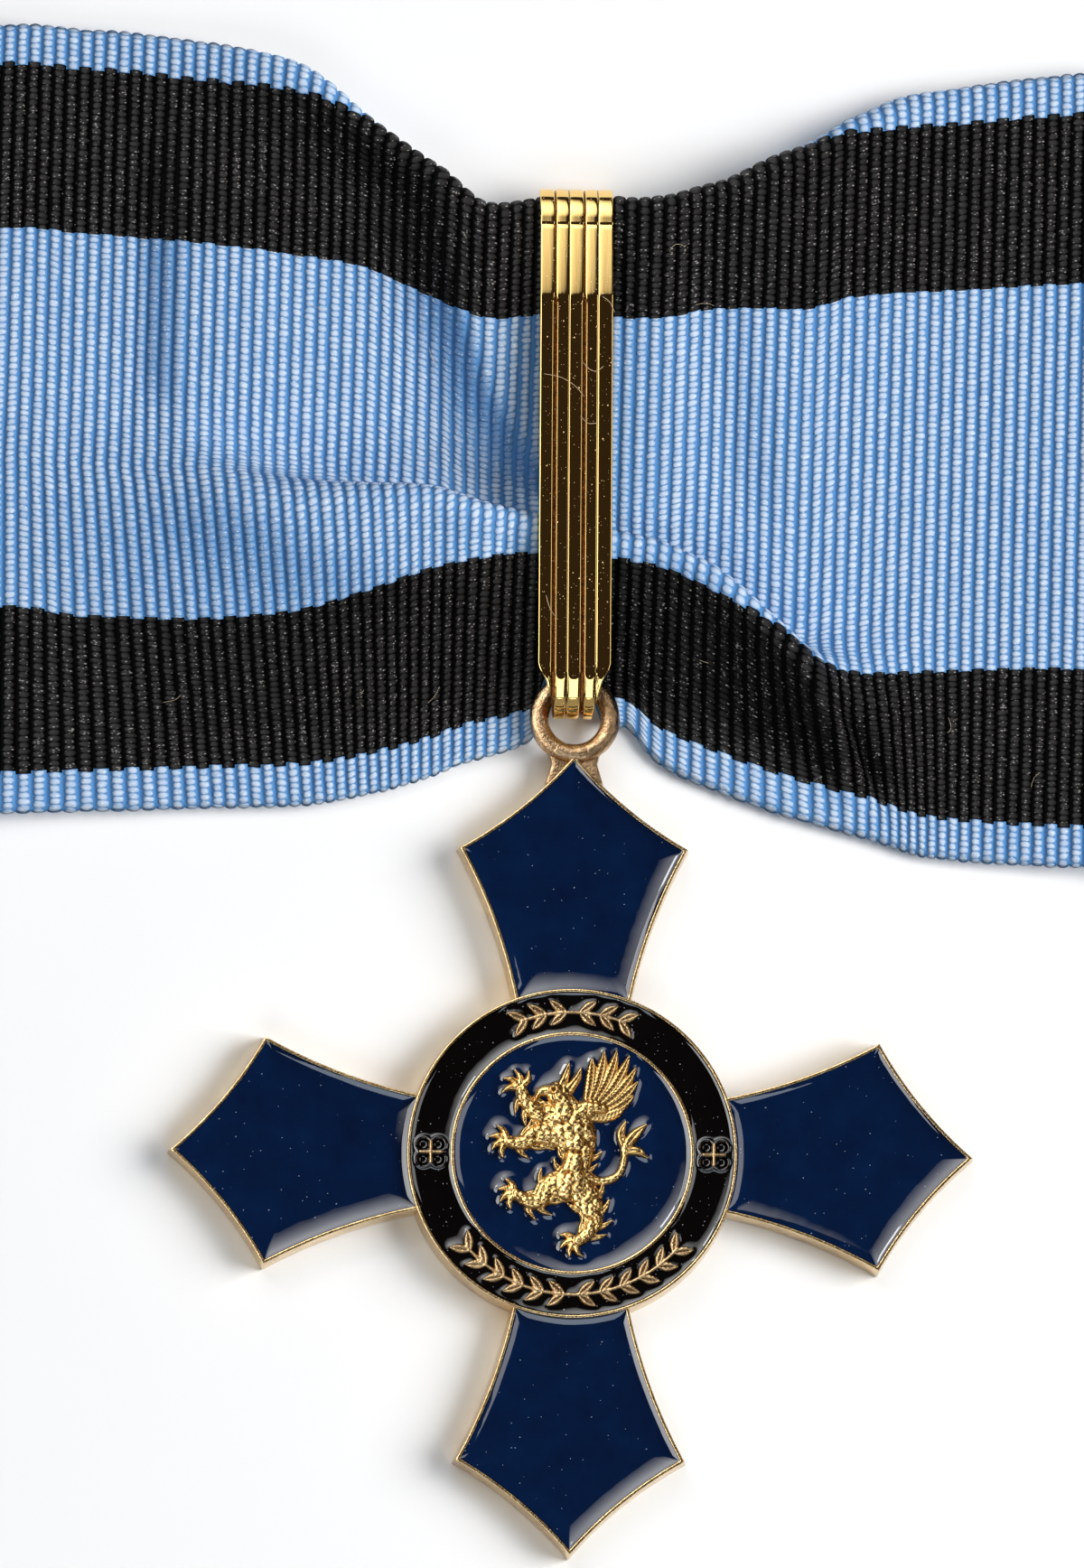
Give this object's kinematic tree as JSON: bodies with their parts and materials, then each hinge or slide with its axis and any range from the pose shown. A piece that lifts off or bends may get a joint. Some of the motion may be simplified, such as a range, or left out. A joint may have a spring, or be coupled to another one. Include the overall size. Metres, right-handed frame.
{
  "type": "neck badge on a ribbon",
  "caption": "Enamelled gilt cross with a round griffin medallion, hung by an eyelet ring and a fluted clip from a wide striped neck ribbon.",
  "frame": {"origin": "middle of the medallion's back face, on the table", "axes": "+Z towards the viewer, +Y from the cross up to the clip and the back of the neck ribbon, +X to the right"},
  "size_m": [0.1824, 0.2173, 0.0057],
  "materials": {
    "cast_gilt": "satin",
    "polished_gilt": "polished",
    "navy_enamel": "gloss",
    "black_enamel": "gloss",
    "ribbon_weave": "woven",
    "snap_metal": "satin"
  },
  "bodies": {
    "root": {"cross": "cast_gilt", "enamel_arm_right": "navy_enamel", "enamel_arm_top": "navy_enamel", "enamel_arm_left": "navy_enamel", "enamel_arm_bottom": "navy_enamel", "enamel_band": "black_enamel", "enamel_centre": "navy_enamel", "clip": "polished_gilt", "ribbon": "ribbon_weave", "ribbon_snap": "snap_metal"}
  },
  "joints": []
}
